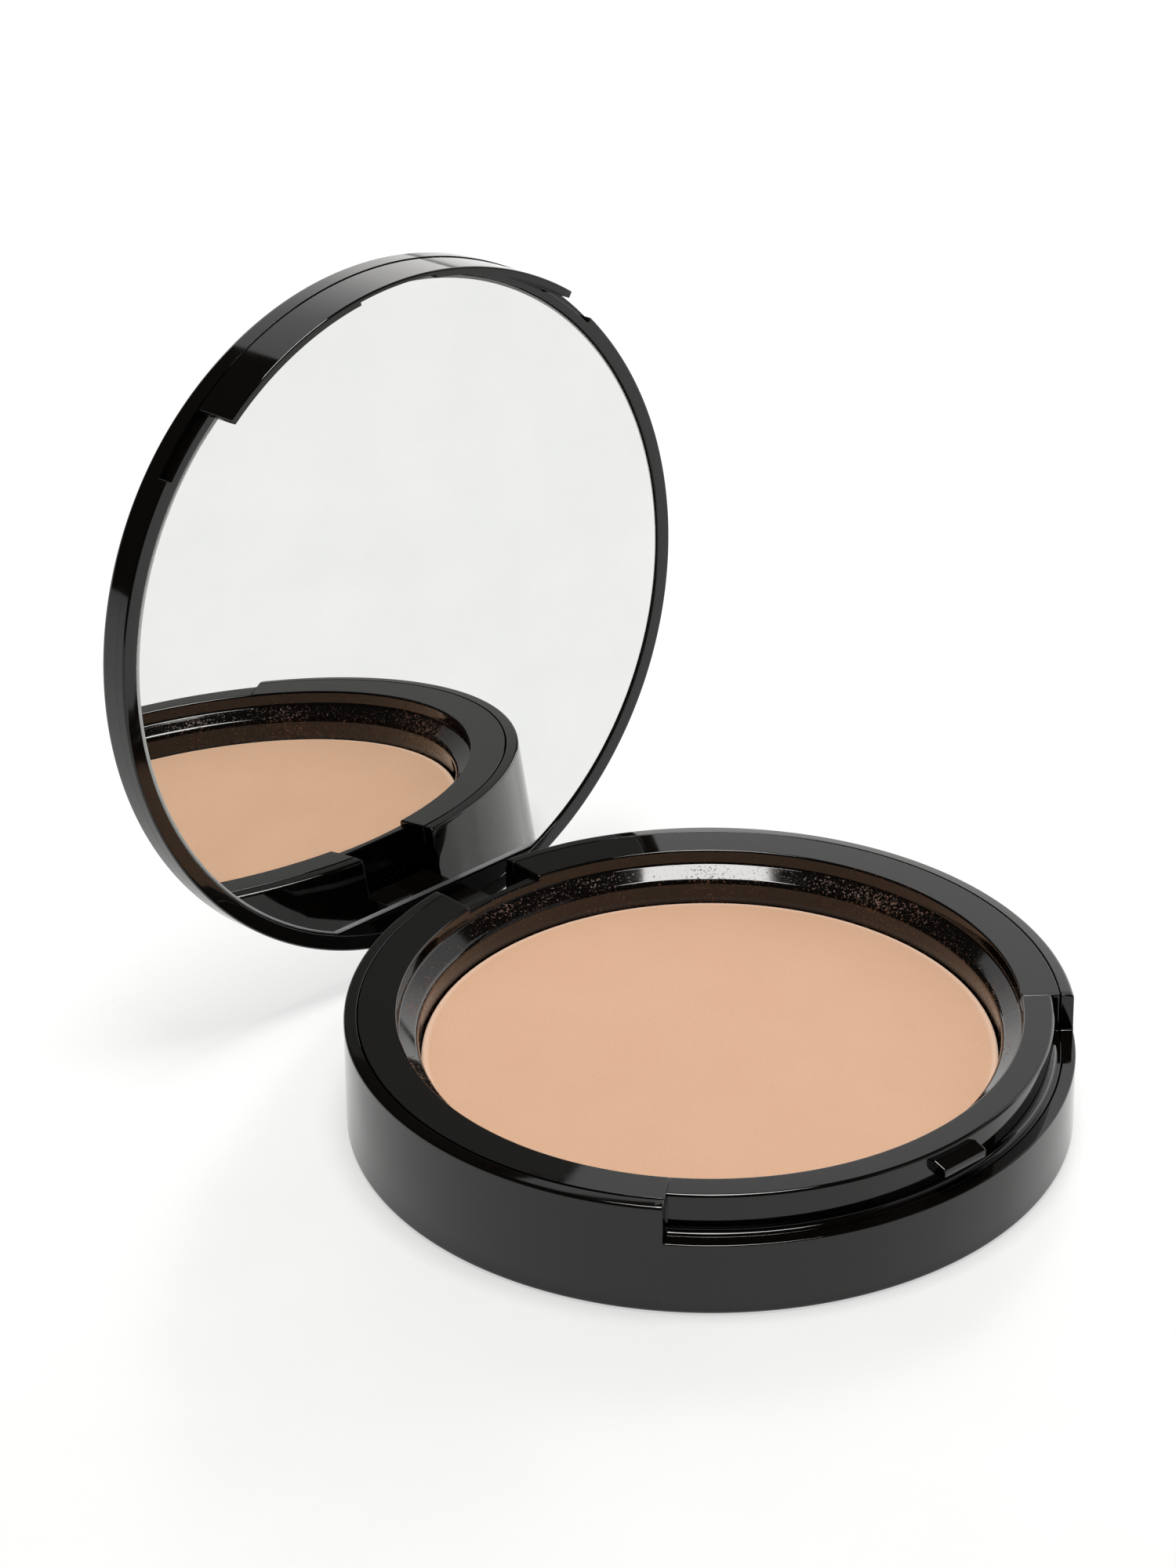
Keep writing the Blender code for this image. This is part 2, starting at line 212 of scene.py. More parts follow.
def arc(a, b, radius, first, last, steps):
    turns = [math.radians(first + (last - first) * s / steps) for s in range(steps + 1)]
    return [(a + radius * math.cos(t), b + radius * math.sin(t)) for t in turns]


def rod_loops(y, z, radius, low, high, chamfer, steps=48):
    """Loops of a bar along X with softened ends."""
    loops = []
    for x, r in ((low, radius - chamfer), (low + chamfer * 0.3, radius - chamfer * 0.3),
                 (low + chamfer, radius), (high - chamfer, radius),
                 (high - chamfer * 0.3, radius - chamfer * 0.3), (high, radius - chamfer)):
        ring = arc(y, z, r, 0.0, 360.0 * (1 - 1 / steps), steps - 1)
        loops.append([(x, a, b) for a, b in ring])
    return loops


# Base


def case_wall(edge=0.0, low=LEDGE_Z):
    """Case outline at full height. edge draws it in beside a rounded cut that goes down to low."""
    return fillet([
        (0.0, 0.0, 0), (36.9, 0.0, 0), (CASE_R, 0.0, 0.5), (CASE_R, low - 0.4, 0),
        (CASE_R - edge, low + 0.1, 0),
        (CASE_R - edge, 12.22 - edge, 0.36), (CASE_IN_R, 12.345 - edge, 0.1),
        (CASE_IN_R, low - 0.3, 0), (CASE_IN_R, CASE_FLOOR_Z, 0), (0.0, CASE_FLOOR_Z, 0)])


def case_cut(rise=0.0, low=LEDGE_Z):
    """Case outline where it is cut down to low. rise lifts the cut's floor beside its end."""
    return fillet([
        (0.0, 0.0, 0), (36.9, 0.0, 0), (CASE_R, 0.0, 0.5), (CASE_R, low - 0.4, 0),
        (CASE_R, low - 0.25, 0),
        (CASE_R, low + rise, 0.14), (CASE_IN_R, low + rise, 0.08),
        (CASE_IN_R, low - 0.3, 0), (CASE_IN_R, CASE_FLOOR_Z, 0), (0.0, CASE_FLOOR_Z, 0)])


def holder_wall(edge=0.0):
    """Pan holder outline with its full rim."""
    return fillet([
        (0.0, 1.45, 0), (31.2, 1.45, 0.3), (31.2, 7.6, 0), (HOLDER_R, 7.6, 0),
        (HOLDER_R, 7.9, 0.03), (HOLDER_R - edge, 8.7, 0.5),
        (HOLDER_R - edge, HOLDER_TOP - edge, 0.07),
        (WELL_R + 0.02, HOLDER_TOP - edge, 0.24)] + well())


def holder_notch(rise=0.0):
    """Pan holder outline at the front notch, with a fillet on its ledge."""
    return fillet([
        (0.0, 1.45, 0), (31.2, 1.45, 0.3), (31.2, 7.6, 0), (HOLDER_R, 7.6, 0),
        (HOLDER_R, LEDGE_Z + rise, 0.06), (35.2, LEDGE_Z + rise, 0.5), (35.2, HOLDER_TOP, 0.35),
        (WELL_R + 0.02, HOLDER_TOP, 0.24)] + well())


def holder_sill(x):
    """Pan holder outline behind the hinge arm, where its rim is a lower sill."""
    wall = math.hypot(SLOT_Y, x)
    return fillet([
        (0.0, 1.45, 0), (31.2, 1.45, 0.3), (31.2, 7.6, 0), (wall, 7.6, 0),
        (wall, 7.9, 0.03), (wall, 8.7, 0.5), (wall, 11.85, 0.12),
        (WELL_R, 11.85, 0.2)] + well())


def well():
    return [(WELL_R - 0.03, 10.834, 0.35), (BORE_R, 9.755, 0.8), (BORE_R, 2.45, 0), (0.0, 2.45, 0)]


def base_sections(wall, notch, slot, edge, rise):
    """Loops round the base. wall(drop), notch(lift) and slot(lift, x) give the outlines."""
    sections = []
    for degrees in [0.0] + spread(0.0, NOTCH_DEG - 0.6, 1.0):
        sections.append(at_deg(notch(0.0), degrees))
    inside = easing(rise)
    for gap, lift in inside:
        sections.append(at_deg(notch(lift), NOTCH_DEG - math.degrees(gap / 36.8)))
    for gap, drop in reversed(easing(edge)):
        sections.append(at_deg(wall(drop, False), NOTCH_DEG + math.degrees(gap / 36.8)))
    for degrees in spread(NOTCH_DEG + 0.4, 162.0, 1.0):
        sections.append(at_deg(wall(0.0, False), degrees))
    for x in (8.8, 7.8, 6.9, 6.1, 5.4):
        sections.append(at_x(wall(0.0, True), x))
    for gap, drop in easing(edge):
        sections.append(at_x(wall(drop, True), SLOT_X + gap))
    for gap, lift in reversed(inside):
        sections.append(at_x(slot(lift, SLOT_X - gap), SLOT_X - gap))
    for x in spread(SLOT_X - rise, 0.0, 0.8):
        sections.append(at_x(slot(0.0, x), x))
    sections.append(at_x(slot(0.0, 0.0), 0.0))
    mirrored = [[(-x, y, z) for x, y, z in loop] for loop in sections[1:-1]]
    return sections + mirrored[::-1]


def make_case(material):
    bm = bmesh.new()
    skin(bm, base_sections(
        lambda drop, back: case_wall(drop, SLOT_Z if back else LEDGE_Z),
        case_cut, lambda lift, x: case_cut(lift, SLOT_Z), 0.16, 0.22))
    for side in (-1, 1):
        low_x, high_x = sorted((side * (SLOT_X + 0.02), side * 8.6))
        block(bm, (low_x, 32.6, 1.1), (high_x, 35.6, 8.5), 0.2)
    block(bm, (-SLOT_X, 32.6, 1.1), (SLOT_X, 35.9, SLOT_Z), 0.15)
    case = to_object("case_shell", bm, weighted=False)
    cut(case, pin_bore_tool())
    cut(case, label_pocket_tool())
    case.data.set_sharp_from_angle(angle=math.radians(32.0))
    weigh(case)
    return place_piece(case, "base", material, ["base_case"])


def cut(obj, tool):
    """Boolean difference, applied. The tool is then removed."""
    made = obj.modifiers.new("cut", "BOOLEAN")
    made.operation, made.solver, made.object = "DIFFERENCE", "EXACT", tool
    graph = bpy.context.evaluated_depsgraph_get()
    mesh = bpy.data.meshes.new_from_object(obj.evaluated_get(graph))
    obj.modifiers.clear()
    obj.data = mesh
    bpy.data.objects.remove(tool)


def pin_bore_tool():
    bm = bmesh.new()
    plate(bm, rod_loops(HINGE_Y, HINGE_Z, PIN_BORE_R, 7.0, 18.0, 0.02))
    return to_object("pin_bore", bm, weighted=False)


def label_pocket_tool():
    bm = bmesh.new()
    ring = [(x, y - 18.0) for x, y in rounded_rectangle(14.2, 6.2, 2.2)]
    plate(bm, [[(x, y, z) for x, y in ring] for z in (-1.0, 0.16)])
    return to_object("label_pocket", bm, weighted=False)


def rounded_rectangle(half_x, half_y, radius, steps=8):
    return fillet([(-half_x, -half_y, radius), (half_x, -half_y, radius),
                   (half_x, half_y, radius), (-half_x, half_y, radius)], steps)


def bar_stations(half, ease):
    """Places along X of a bar's outlines, with how far each is drawn in at the rounded ends."""
    end = [(half, ease), (half - 0.05, 0.07), (half - 0.18, 0.0)]
    return [(-x, drawn) for x, drawn in end] + end[::-1]


def make_holder(material):
    bm = bmesh.new()
    skin(bm, base_sections(
        lambda drop, back: holder_wall(drop), holder_notch,
        lambda lift, x: holder_sill(x), 0.16, 0.2))
    catch = [(-34.9, 11.5), (-36.35, 11.08), (-36.56, 10.95), (-36.62, 10.75), (-36.6, 10.2),
             (-36.45, 9.98), (-36.2, 9.88), (-34.9, 9.88)]
    mid_y, mid_z = -35.6, 10.6
    loops = []
    for x, ease in bar_stations(2.9, 0.16):
        shrink = 1.0 - ease
        loops.append([(x, mid_y + (y - mid_y) * shrink, mid_z + (z - mid_z) * shrink)
                      for y, z in catch])
    plate(bm, loops)
    return place_piece(to_object("pan_holder_shell", bm), "base", material,
                       ["pan_holder"])


def make_cake(material):
    """Pressed powder with a soft shoulder and the slight unevenness of its pressing."""
    bm = bmesh.new()
    outline = [(28.9, 3.1), (29.1, 3.4), (29.12, 6.8), (29.52, 6.82), (29.62, 6.9), (29.64, 7.0)]
    outline += [(29.63, 7.1), (29.58, 7.2), (29.48, 7.29), (29.33, 7.345), (29.1, 7.375)]
    outline += [(28.8, 7.39)]
    outline += [(28.4, 7.40), (28.0, 7.41), (27.5, 7.42)]
    outline += [(r, 7.43 + 0.02 * (1 - r / 27.0)) for r in spread(27.5, 0.0, 0.55)]
    outline += [(0.0, CAKE_TOP), (0.0, 3.1)]
    sections = []
    for degrees in range(0, 360, 1):
        loop = []
        for x, y, z in at_deg(outline, float(degrees)):
            if z > 7.15:
                broad = noise.noise(Vector((x * 0.09, y * 0.09, 3.0)))
                fine = noise.noise(Vector((x * 0.7, y * 0.7, 9.0)))
                z += 0.010 * broad + 0.005 * fine
            loop.append((x, y, z))
        sections.append(loop)
    skin(bm, sections)
    return place_piece(to_object("powder", bm, 60.0, False), "base", material,
                       ["powder_cake"])


def make_pin(material):
    bm = bmesh.new()
    plate(bm, rod_loops(HINGE_Y, HINGE_Z, PIN_R, -7.4, 7.6, 0.12))
    return place_piece(to_object("pin", bm), "base", material, ["hinge_pin"])


# Lid


def frame_rim(edge=0.0):
    return fillet([
        (FRAME_R, RIM_Z, 0.1), (36.5, RIM_Z, 0), (36.7, RIM_Z, 0), (36.9, RIM_Z, 0),
        (37.1, RIM_Z, 0), (CASE_R - edge, RIM_Z, 0.24), (CASE_R - edge, PARTING_Z, 0.01),
        (36.55, PARTING_Z, 0), (36.55, PLATE_TOP, 0), (0.0, PLATE_TOP, 0), (0.0, PLATE_Z, 0),
        (FRAME_R, PLATE_Z, 0)])


def frame_recess(rise=0.0):
    return fillet([
        (FRAME_R, RIM_Z, 0.1), (36.42, RIM_Z, 0), (36.5, RIM_Z, 0), (36.58, RIM_Z, 0),
        (36.65, RIM_Z, 0), (RECESS_R + rise, RIM_Z, 0.06), (RECESS_R + rise, PARTING_Z, 0.02),
        (36.55, PARTING_Z, 0), (36.55, PLATE_TOP, 0), (0.0, PLATE_TOP, 0), (0.0, PLATE_Z, 0),
        (FRAME_R, PLATE_Z, 0)])


def frame_lip(edge=0.0, inner=LIP_IN):
    low = LIP_Z + edge
    return fillet([
        (FRAME_R, RIM_Z, 0.1), (LIP_IN, RIM_Z, 0), (LIP_IN, POCKET_Z, 0),
        (inner, POCKET_Z - 0.02, 0),
        (inner + edge * 0.4, low, 0), (LIP_OUT - edge, low, 0.2), (LIP_OUT - edge, PARTING_Z, 0.07),
        (36.55, PARTING_Z, 0), (36.55, PLATE_TOP, 0), (0.0, PLATE_TOP, 0), (0.0, PLATE_Z, 0),
        (FRAME_R, PLATE_Z, 0)])


def frame_sections():
    sections = []
    for degrees in [0.0] + spread(0.0, POCKET_DEG, 1.0) + [POCKET_DEG]:
        sections.append(at_deg(frame_lip(0.0, POCKET_R), degrees))
    for degrees in [POCKET_DEG] + spread(POCKET_DEG, LIP_DEG - 0.6, 1.0):
        sections.append(at_deg(frame_lip(), degrees))
    for gap, drop in easing(0.16):
        sections.append(at_deg(frame_lip(drop), LIP_DEG - math.degrees(gap / 37.0)))
    for gap, lift in reversed(easing(0.12)):
        sections.append(at_deg(frame_recess(lift), LIP_DEG + math.degrees(gap / 37.0)))
    for degrees in spread(LIP_DEG + 0.4, RECESS_DEG - 0.4, 1.0):
        sections.append(at_deg(frame_recess(), degrees))
    for gap, lift in easing(0.12):
        sections.append(at_deg(frame_recess(lift), RECESS_DEG - math.degrees(gap / 37.0)))
    for gap, drop in reversed(easing(0.12)):
        sections.append(at_deg(frame_rim(drop), RECESS_DEG + math.degrees(gap / 37.0)))
    for degrees in spread(RECESS_DEG + 0.4, 180.0, 1.0) + [180.0]:
        sections.append(at_deg(frame_rim(), degrees))
    mirrored = [[(-x, y, z) for x, y, z in loop] for loop in sections[1:-1]]
    return sections + mirrored[::-1]


def chord_loop(radius, chord, beyond, steps=180):
    turn = math.degrees(math.asin(chord / radius))
    if beyond:
        return arc(0.0, 0.0, radius, turn, 180.0 - turn, steps)
    return arc(0.0, 0.0, radius, 180.0 - turn, 360.0 + turn, steps)


def make_frame(material):
    bm = bmesh.new()
    skin(bm, frame_sections())
    loops = []
    for z, ease in ((12.62, 0.14), (12.66, 0.04), (12.76, 0.0), (14.6, 0.0)):
        ring = chord_loop(36.3 - ease, CHORD_Y + 0.2 + ease, True, 60)
        loops.append([(x, y, z) for x, y in ring])
    plate(bm, loops)
    plate(bm, arm_loops())
    ring = to_object("lid_ring", bm)
    return place_piece(ring, "lid", material, ["lid_frame"])


def arm_loops():
    """Hinge arm, a bar as thick as its barrel, with rounded side edges."""
    loops = []
    for x, ease in bar_stations(4.5, 0.18):
        radius = BARREL_R - ease
        outline = arc(HINGE_Y, HINGE_Z, radius, 180.0, 360.0, 28)
        outline += [(HINGE_Y + radius, 13.3), (HINGE_Y - radius, 13.3)]
        loops.append([(x, a, b) for a, b in outline])
    return loops


def make_cover(material):
    bm = bmesh.new()
    outline = fillet([(36.7, COVER_Z, 0), (CASE_R, COVER_Z, 0.01), (CASE_R, LID_TOP - 0.05, 0.8),
                      (30.0, LID_TOP - 0.02, 0), (15.0, LID_TOP, 0), (0.0, LID_TOP, 0),
                      (0.0, CEILING_Z, 0), (36.7, CEILING_Z, 0)], 9)
    skin(bm, [at_deg(outline, float(d)) for d in range(360)])
    return place_piece(to_object("lid_shell", bm), "lid", material, ["lid_cover"])


def make_mirror(silver, edge_glass):
    bm = bmesh.new()
    loops = []
    for z, ease in ((MIRROR_Z, 1.0), (MIRROR_Z + 0.2, 0.0), (MIRROR_BACK, 0.0)):
        ring = chord_loop(MIRROR_R - 0.3 * ease, CHORD_Y - 0.6 * ease, False, 300)
        loops.append([(x, y, z) for x, y in ring])
    plate(bm, loops)
    glass = to_object("mirror_glass", bm, 8.0, False)
    place_piece(glass, "lid", silver, ["mirror"])
    glass.data.materials.append(edge_glass)
    for face in glass.data.polygons:
        if abs(face.normal.z) < 0.995:
            face.material_index = 1
    return glass


# Materials


class Nodes:
    """A material's node tree, written as short calls."""

    def __init__(self, name):
        self.material = bpy.data.materials.new(name)
        self.material.use_nodes = True
        self.tree = self.material.node_tree
        self.shader = self.tree.nodes["Principled BSDF"]
        self.place = self.tree.nodes.new("ShaderNodeTexCoord").outputs["Object"]

    def set(self, **values):
        for key, value in values.items():
            self.shader.inputs[key.replace("_", " ")].default_value = value

    def link(self, source, target):
        self.tree.links.new(source, target)

    def feed(self, source, name):
        self.link(source, self.shader.inputs[name])

    def noise(self, scale, detail=4.0, rough=0.5, stretch=None, out="Fac"):
        """Noise with scale in lumps per millimetre."""
        node = self.tree.nodes.new("ShaderNodeTexNoise")
        node.inputs["Scale"].default_value = scale / MM
        node.inputs["Detail"].default_value = detail
        node.inputs["Roughness"].default_value = rough
        self.link(self.stretched(stretch), node.inputs["Vector"])
        return node.outputs[out]

    def stretched(self, stretch):
        if stretch is None:
            return self.place
        node = self.tree.nodes.new("ShaderNodeMapping")
        node.inputs["Scale"].default_value = stretch[0]
        node.inputs["Rotation"].default_value = [math.radians(v) for v in stretch[1]]
        self.link(self.place, node.inputs["Vector"])
        return node.outputs["Vector"]

    def cells(self, scale, out="Distance"):
        node = self.tree.nodes.new("ShaderNodeTexVoronoi")
        node.inputs["Scale"].default_value = scale / MM
        self.link(self.place, node.inputs["Vector"])
        return node.outputs[out]

    def remap(self, source, low, high, to_low, to_high, smooth=True):
        node = self.tree.nodes.new("ShaderNodeMapRange")
        node.interpolation_type = "SMOOTHSTEP" if smooth else "LINEAR"
        for key, value in (("From Min", low), ("From Max", high), ("To Min", to_low),
                           ("To Max", to_high)):
            node.inputs[key].default_value = value
        self.link(source, node.inputs["Value"])
        return node.outputs["Result"]

    def math(self, kind, first, second):
        node = self.tree.nodes.new("ShaderNodeMath")
        node.operation = kind
        for at, value in enumerate((first, second)):
            if isinstance(value, float):
                node.inputs[at].default_value = value
            else:
                self.link(value, node.inputs[at])
        return node.outputs[0]

    def radius(self):
        """Distance from the Z axis, in metres."""
        split = self.tree.nodes.new("ShaderNodeSeparateXYZ")
        self.link(self.place, split.inputs["Vector"])
        x, y = split.outputs["X"], split.outputs["Y"]
        square = self.math("ADD", self.math("MULTIPLY", x, x), self.math("MULTIPLY", y, y))
        return self.math("POWER", square, 0.5)

    def ramp(self, source, *stops):
        node = self.tree.nodes.new("ShaderNodeValToRGB")
        marks = node.color_ramp.elements
        for at, (position, colour) in enumerate(stops):
            mark = marks[at] if at < 2 else marks.new(position)
            mark.position = position
            mark.color = (*colour, 1.0)
        self.link(source, node.inputs["Fac"])
        return node.outputs["Color"]

    def mix(self, share, first, second):
        node = self.tree.nodes.new("ShaderNodeMix")
        node.data_type = "RGBA"
        self.link(share, node.inputs["Factor"])
        for key, value in (("A", first), ("B", second)):
            socket = next(s for s in node.inputs if s.name == key and s.type == "RGBA")
            if isinstance(value, tuple):
                socket.default_value = (*value, 1.0)
            else:
                self.link(value, socket)
        return next(s for s in node.outputs if s.type == "RGBA")

    def bump(self, height, depth, strength=1.0):
        """Bump of a depth in millimetres."""
        node = self.tree.nodes.new("ShaderNodeBump")
        node.inputs["Distance"].default_value = depth * MM
        node.inputs["Strength"].default_value = strength
        self.link(height, node.inputs["Height"])
        self.feed(node.outputs["Normal"], "Normal")


def dust(nodes, scale=0.32, share=0.86, size=0.05):
    """Sparse pale specks: a mask that is 1 on a speck. Most cells hold none."""
    far = nodes.cells(scale)
    colour = nodes.cells(scale, "Color")
    split = nodes.tree.nodes.new("ShaderNodeSeparateColor")
    nodes.link(colour, split.inputs["Color"])
    there = nodes.remap(split.outputs["Red"], share, share + 0.01, 0.0, 1.0)
    grow = nodes.math("MULTIPLY", split.outputs["Green"], size)
    near = nodes.math("LESS_THAN", far, grow)
    return nodes.math("MULTIPLY", near, there)


def powder_fall(nodes, reach):
    """Loose powder: 1 on a grain. Grains crowd inside the radius reach[0] and thin out past it."""
    crowd = nodes.remap(nodes.radius(), reach[0] * MM, reach[1] * MM, 0.0, 0.165)
    drift = nodes.remap(nodes.noise(0.11, 3.0), 0.3, 0.7, 0.06, -0.045)
    floor = nodes.math("ADD", nodes.math("ADD", crowd, 0.575), drift)
    over = nodes.math("SUBTRACT", nodes.noise(3.4, 5.0, 0.72), floor)
    return nodes.remap(over, 0.0, 0.035, 0.0, 1.0)


def gloss_plastic(name, tint, turn, reach=None):
    """Black moulded plastic with high gloss, faint flow, hairline scratches and dust."""
    nodes = Nodes(name)
    dark = tuple(v * 0.8 for v in tint)
    flow = nodes.noise(0.09, 3.0)
    base = nodes.ramp(flow, (0.3, dark), (0.7, tint))
    specks = dust(nodes)
    colour = nodes.mix(specks, base, (0.26, 0.25, 0.24))
    if reach:
        grains = powder_fall(nodes, reach)
        brown = nodes.ramp(nodes.noise(1.3, 3.0), (0.35, (0.085, 0.032, 0.018)),
                           (0.7, (0.30, 0.15, 0.09)))
        colour = nodes.mix(nodes.math("MULTIPLY", grains, 0.55), colour, brown)
    nodes.feed(colour, "Base Color")
    haze = nodes.remap(nodes.noise(0.25, 5.0, 0.6), 0.35, 0.75, 0.045, 0.085)
    hair = nodes.noise(1.4, 2.0, 0.5, ((1.0, 0.03, 1.0), (0.0, 0.0, turn)))
    lines = nodes.remap(hair, 0.70, 0.76, 0.0, 0.06)
    rough = nodes.math("ADD", haze, lines)
    rough = nodes.math("ADD", rough, nodes.math("MULTIPLY", specks, 0.6))
    if reach:
        rough = nodes.math("ADD", rough, nodes.math("MULTIPLY", grains, 0.4))
    nodes.feed(rough, "Roughness")
    ripple = nodes.noise(0.12, 2.0, 0.4)
    height = nodes.math("ADD", nodes.math("MULTIPLY", ripple, 1.0),
                        nodes.math("MULTIPLY", specks, 2.0))
    nodes.bump(height, 0.012, 0.35)
    nodes.set(IOR=1.5)
    return nodes.material


def pressed_powder():
    """Fine peach powder: grain in colour and in relief, a soft bloom at grazing angles, and a
    painted highlight that lightens its rounded edge.
    """
    nodes = Nodes("pressed_powder_fine")
    grain = nodes.noise(7.0, 6.0, 0.75)
    cloud = nodes.noise(0.12, 3.0, 0.5)
    peach = nodes.ramp(grain, (0.25, (0.54, 0.30, 0.175)), (0.5, (0.73, 0.44, 0.28)),
                       (0.8, (0.90, 0.62, 0.45)))
    tint = nodes.ramp(cloud, (0.35, (0.725, 0.432, 0.272)), (0.65, (0.755, 0.462, 0.298)))
    blend = nodes.remap(nodes.noise(2.2, 4.0, 0.6), 0.3, 0.7, 0.35, 0.65)
    colour = nodes.mix(blend, peach, tint)
    pale = nodes.remap(nodes.cells(3.2), 0.10, 0.04, 0.0, 0.35)
    colour = nodes.mix(pale, colour, (0.90, 0.68, 0.50))
    # Painted highlight: the colour is lightened on the powder's rounded shoulder, from r = 28.7 to
    # 29.3 mm, in place of the light that shoulder catches.
    edge = nodes.remap(nodes.radius(), 28.7 * MM, 29.3 * MM, 0.0, 0.55)
    nodes.feed(nodes.mix(edge, colour, (0.93, 0.68, 0.53)), "Base Color")
    nodes.feed(nodes.remap(grain, 0.2, 0.8, 0.78, 0.95), "Roughness")
    relief = nodes.math("ADD", nodes.math("MULTIPLY", grain, 1.0),
                        nodes.math("MULTIPLY", nodes.noise(2.4, 3.0, 0.5), 0.8))
    nodes.bump(relief, 0.05, 0.6)
    nodes.set(Sheen_Weight=0.12, Sheen_Roughness=0.5)
    return nodes.material


def mirror_silver():
    nodes = Nodes("mirror_silver_clean")
    smear = nodes.noise(0.10, 4.0, 0.6)
    silver = nodes.ramp(smear, (0.35, (0.865, 0.88, 0.86)), (0.7, (0.90, 0.91, 0.895)))
    nodes.feed(silver, "Base Color")
    nodes.feed(nodes.remap(smear, 0.5, 0.8, 0.0, 0.02), "Roughness")
    nodes.set(Metallic=1.0)
    return nodes.material


def ground_glass():
    """Ground edge of the mirror's glass."""
    nodes = Nodes("mirror_edge_ground")
    grit = nodes.noise(9.0, 4.0, 0.7)
    nodes.feed(nodes.ramp(grit, (0.3, (0.80, 0.84, 0.82)), (0.7, (0.90, 0.92, 0.91))), "Base Color")
    nodes.feed(nodes.remap(grit, 0.2, 0.8, 0.22, 0.42), "Roughness")
    nodes.bump(grit, 0.01, 0.6)
    return nodes.material


def satin(name, low, high, rough, metallic=0.0, scale=2.0, stretch=None, depth=0.01):
    """A plain worked surface: metal, glue, paper or foam, by its grain."""
    nodes = Nodes(name)
    grain = nodes.noise(scale, 4.0, 0.6, stretch)
    nodes.feed(nodes.ramp(grain, (0.3, low), (0.7, high)), "Base Color")
    nodes.feed(nodes.remap(grain, 0.2, 0.8, rough[0], rough[1]), "Roughness")
    nodes.bump(grain, depth, 0.5)
    nodes.set(Metallic=metallic)
    return nodes.material


def see_through_from_below(nodes):
    """Leaves the upper side as it is and makes the lower side clear, so the base shows."""
    new = nodes.tree.nodes.new
    side, clear, blend = (new("ShaderNode" + kind) for kind in (
        "NewGeometry", "BsdfTransparent", "MixShader"))
    nodes.link(side.outputs["Backfacing"], blend.inputs["Fac"])
    nodes.link(nodes.shader.outputs["BSDF"], blend.inputs[1])
    nodes.link(clear.outputs["BSDF"], blend.inputs[2])
    nodes.link(blend.outputs["Shader"], nodes.tree.nodes["Material Output"].inputs["Surface"])


def floor_white():
    nodes = Nodes("floor_white")
    grain = nodes.noise(0.05, 3.0, 0.5)
    grey = nodes.ramp(grain, (0.3, (0.36, 0.36, 0.358)), (0.7, (0.38, 0.38, 0.378)))
    nodes.feed(grey, "Base Color")
    nodes.feed(nodes.remap(grain, 0.2, 0.8, 0.25, 0.29), "Roughness")
    nodes.set(IOR=1.8, Emission_Color=(1.0, 1.0, 0.995, 1.0), Emission_Strength=FLOOR_GLOW)
    see_through_from_below(nodes)
    return nodes.material


# Stage


def make_floor():
    bm = bmesh.new()
    bmesh.ops.create_grid(bm, x_segments=8, y_segments=8, size=1.0)
    mesh = bpy.data.meshes.new("floor")
    bmesh.ops.scale(bm, verts=bm.verts, vec=(4.0, 4.0, 1.0))
    bm.to_mesh(mesh)
    bm.free()
    floor = bpy.data.objects.new("floor", mesh)
    bpy.context.scene.collection.objects.link(floor)
    floor.location.z = -STAGE_DROP
    mesh.materials.append(floor_white())


def lamp(name, place, target, size, radiance, colour=(1.0, 1.0, 1.0), spread=180.0):
    """Rectangular lamp of a given surface brightness, facing the target."""
    data = bpy.data.lights.new(name, "AREA")
    data.shape = "RECTANGLE"
    data.size, data.size_y = size
    data.energy = radiance * math.pi * size[0] * size[1]
    data.color = colour
    data.spread = math.radians(spread)
    obj = bpy.data.objects.new(name, data)
    obj.location = place
    aim = Vector(target) - Vector(place)
    obj.rotation_mode = "QUATERNION"
    obj.rotation_quaternion = aim.to_track_quat("-Z", "Y")
    bpy.context.scene.collection.objects.link(obj)
    return obj


def card_glow(name, power):
    """Light of a card: brighter low down, with a faint cloudiness."""
    nodes = Nodes(name + "_glow")
    split = nodes.tree.nodes.new("ShaderNodeSeparateXYZ")
    nodes.link(nodes.place, split.inputs["Vector"])
    cloud = nodes.noise(0.0008, 2.0)
    height = nodes.math("ADD", split.outputs["Z"], nodes.remap(cloud, 0.3, 0.7, -0.02, 0.02))
    glow = nodes.ramp(nodes.math("MULTIPLY", height, 0.5), *CARD_GLOW)
    nodes.feed(glow, "Emission Color")
    nodes.set(Base_Color=(0.0, 0.0, 0.0, 1.0), Roughness=1.0, Emission_Strength=power)
    return nodes.material


def glow_card(name, turns, power):
    """Glowing upright card curved round the stage; it lights but isn't seen."""
    bm = bmesh.new()
    columns = []
    for turn in (math.radians(degrees) for degrees in turns):
        x, y = CARD_R * math.sin(turn), CARD_R * math.cos(turn)
        columns.append([bm.verts.new((x, y, z)) for z in (CARD_LOW, CARD_HIGH)])
    for left, right in zip(columns, columns[1:]):
        bm.faces.new((left[0], left[1], right[1], right[0]))
    mesh = bpy.data.meshes.new(name)
    bm.to_mesh(mesh)
    bm.free()
    card = bpy.data.objects.new(name, mesh)
    bpy.context.scene.collection.objects.link(card)
    mesh.materials.append(card_glow(name, power))
    card.visible_camera = False


def make_lights():
    world = bpy.data.worlds.new("studio")
    world.use_nodes = True
    world.node_tree.nodes["Background"].inputs["Color"].default_value = (0.028, 0.026, 0.025, 1.0)
    bpy.context.scene.world = world
    middle = (0.0, 0.0, 0.01)
    lamp("softbox_over", (0.02, 0.0, 1.25), middle, (0.5, 0.5), 17.5, (1.0, 0.99, 0.975))
    glow_card("backdrop", range(6, 115, 6), BACK_POWER)
    glow_card("side_card", range(126, 169, 6), SIDE_POWER)


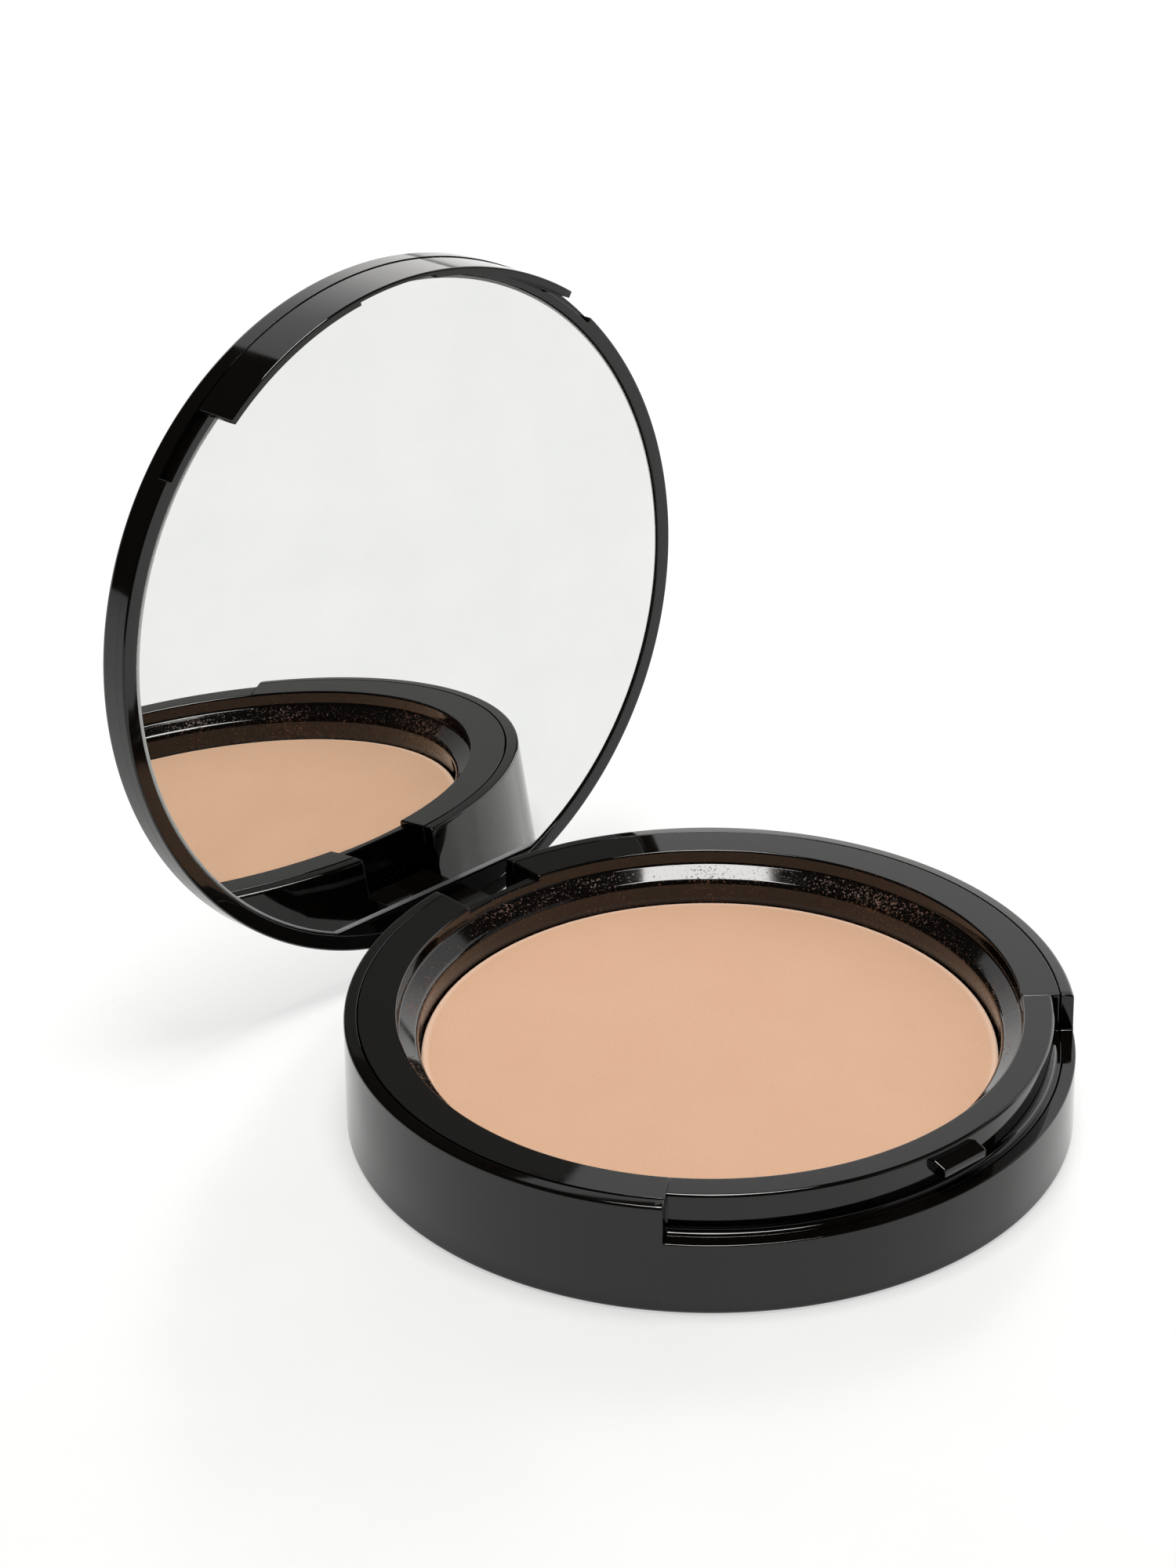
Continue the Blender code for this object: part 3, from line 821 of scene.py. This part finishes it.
def make_camera():
    az, el, roll = (math.radians(v) for v in (CAM_AZ, CAM_EL, CAM_ROLL))
    back = Vector((math.sin(az) * math.cos(el), -math.cos(az) * math.cos(el), math.sin(el)))
    level = Vector((math.cos(az), math.sin(az), 0.0))
    over = back.cross(level)
    right = level * math.cos(roll) + over * math.sin(roll)
    up = over * math.cos(roll) - level * math.sin(roll)
    turn = Matrix((right, up, back)).transposed()
    data = bpy.data.cameras.new("camera")
    data.lens, data.sensor_width, data.sensor_fit = CAM_LENS, 36.0, "AUTO"
    data.clip_start, data.clip_end = 0.05, 20.0
    camera = bpy.data.objects.new("camera", data)
    camera.matrix_world = Matrix.Translation(turn @ Vector(CAM_OFFSET) * -MM) @ turn.to_4x4()
    bpy.context.scene.collection.objects.link(camera)
    bpy.context.scene.camera = camera


def lid_open_matrix():
    """From the lid's closed place to its open one, which is the joint's range back."""
    pivot, axis = Vector(HINGE["pos_m"]), Vector(HINGE["axis"])
    back = Matrix.Rotation(-math.radians(HINGE["range_deg"][1]), 4, axis)
    return Matrix.Translation(pivot) @ back @ Matrix.Translation(-pivot)


LID_OPEN = lid_open_matrix()


def dress_node(name, material):
    node = frame["nodes"][name]
    for at in range(len(node.data.materials)):
        node.material_slots[at].material = material


def build():
    black = (0.0032, 0.0025, 0.0020)
    make_case(gloss_plastic("case_gloss", black, 20.0, (20.0, 36.0)))
    make_holder(gloss_plastic("holder_gloss", black, 65.0, (31.3, 33.2)))
    make_cake(pressed_powder())
    make_pin(satin("pin_metal", (0.5, 0.5, 0.5), (0.64, 0.63, 0.62), (0.2, 0.34), 1.0))
    make_frame(gloss_plastic("frame_gloss", black, -30.0))
    make_cover(gloss_plastic("lid_gloss", black, 110.0))
    make_mirror(mirror_silver(), ground_glass())
    dress_node("powder_pan", satin(
        "pan_tin", (0.62, 0.62, 0.62), (0.8, 0.8, 0.8), (0.25, 0.4), 1.0, 1.2,
        ((1.0, 0.05, 1.0), (0, 0, 30))))
    dress_node("pan_adhesive", satin(
        "adhesive", (0.66, 0.62, 0.50), (0.78, 0.75, 0.65), (0.4, 0.65), 0.0, 0.8))
    dress_node("base_label", satin(
        "label_paper_white", (0.78, 0.78, 0.76), (0.84, 0.84, 0.83), (0.45, 0.6), 0.0, 6.0))
    dress_node("mirror_tape", satin(
        "tape_foam", (0.76, 0.76, 0.74), (0.88, 0.88, 0.86), (0.8, 0.95), 0.0, 3.0, None, 0.05))
    make_floor()
    make_lights()
    make_camera()
    bpy.context.scene.view_settings.view_transform = "Standard"


build()
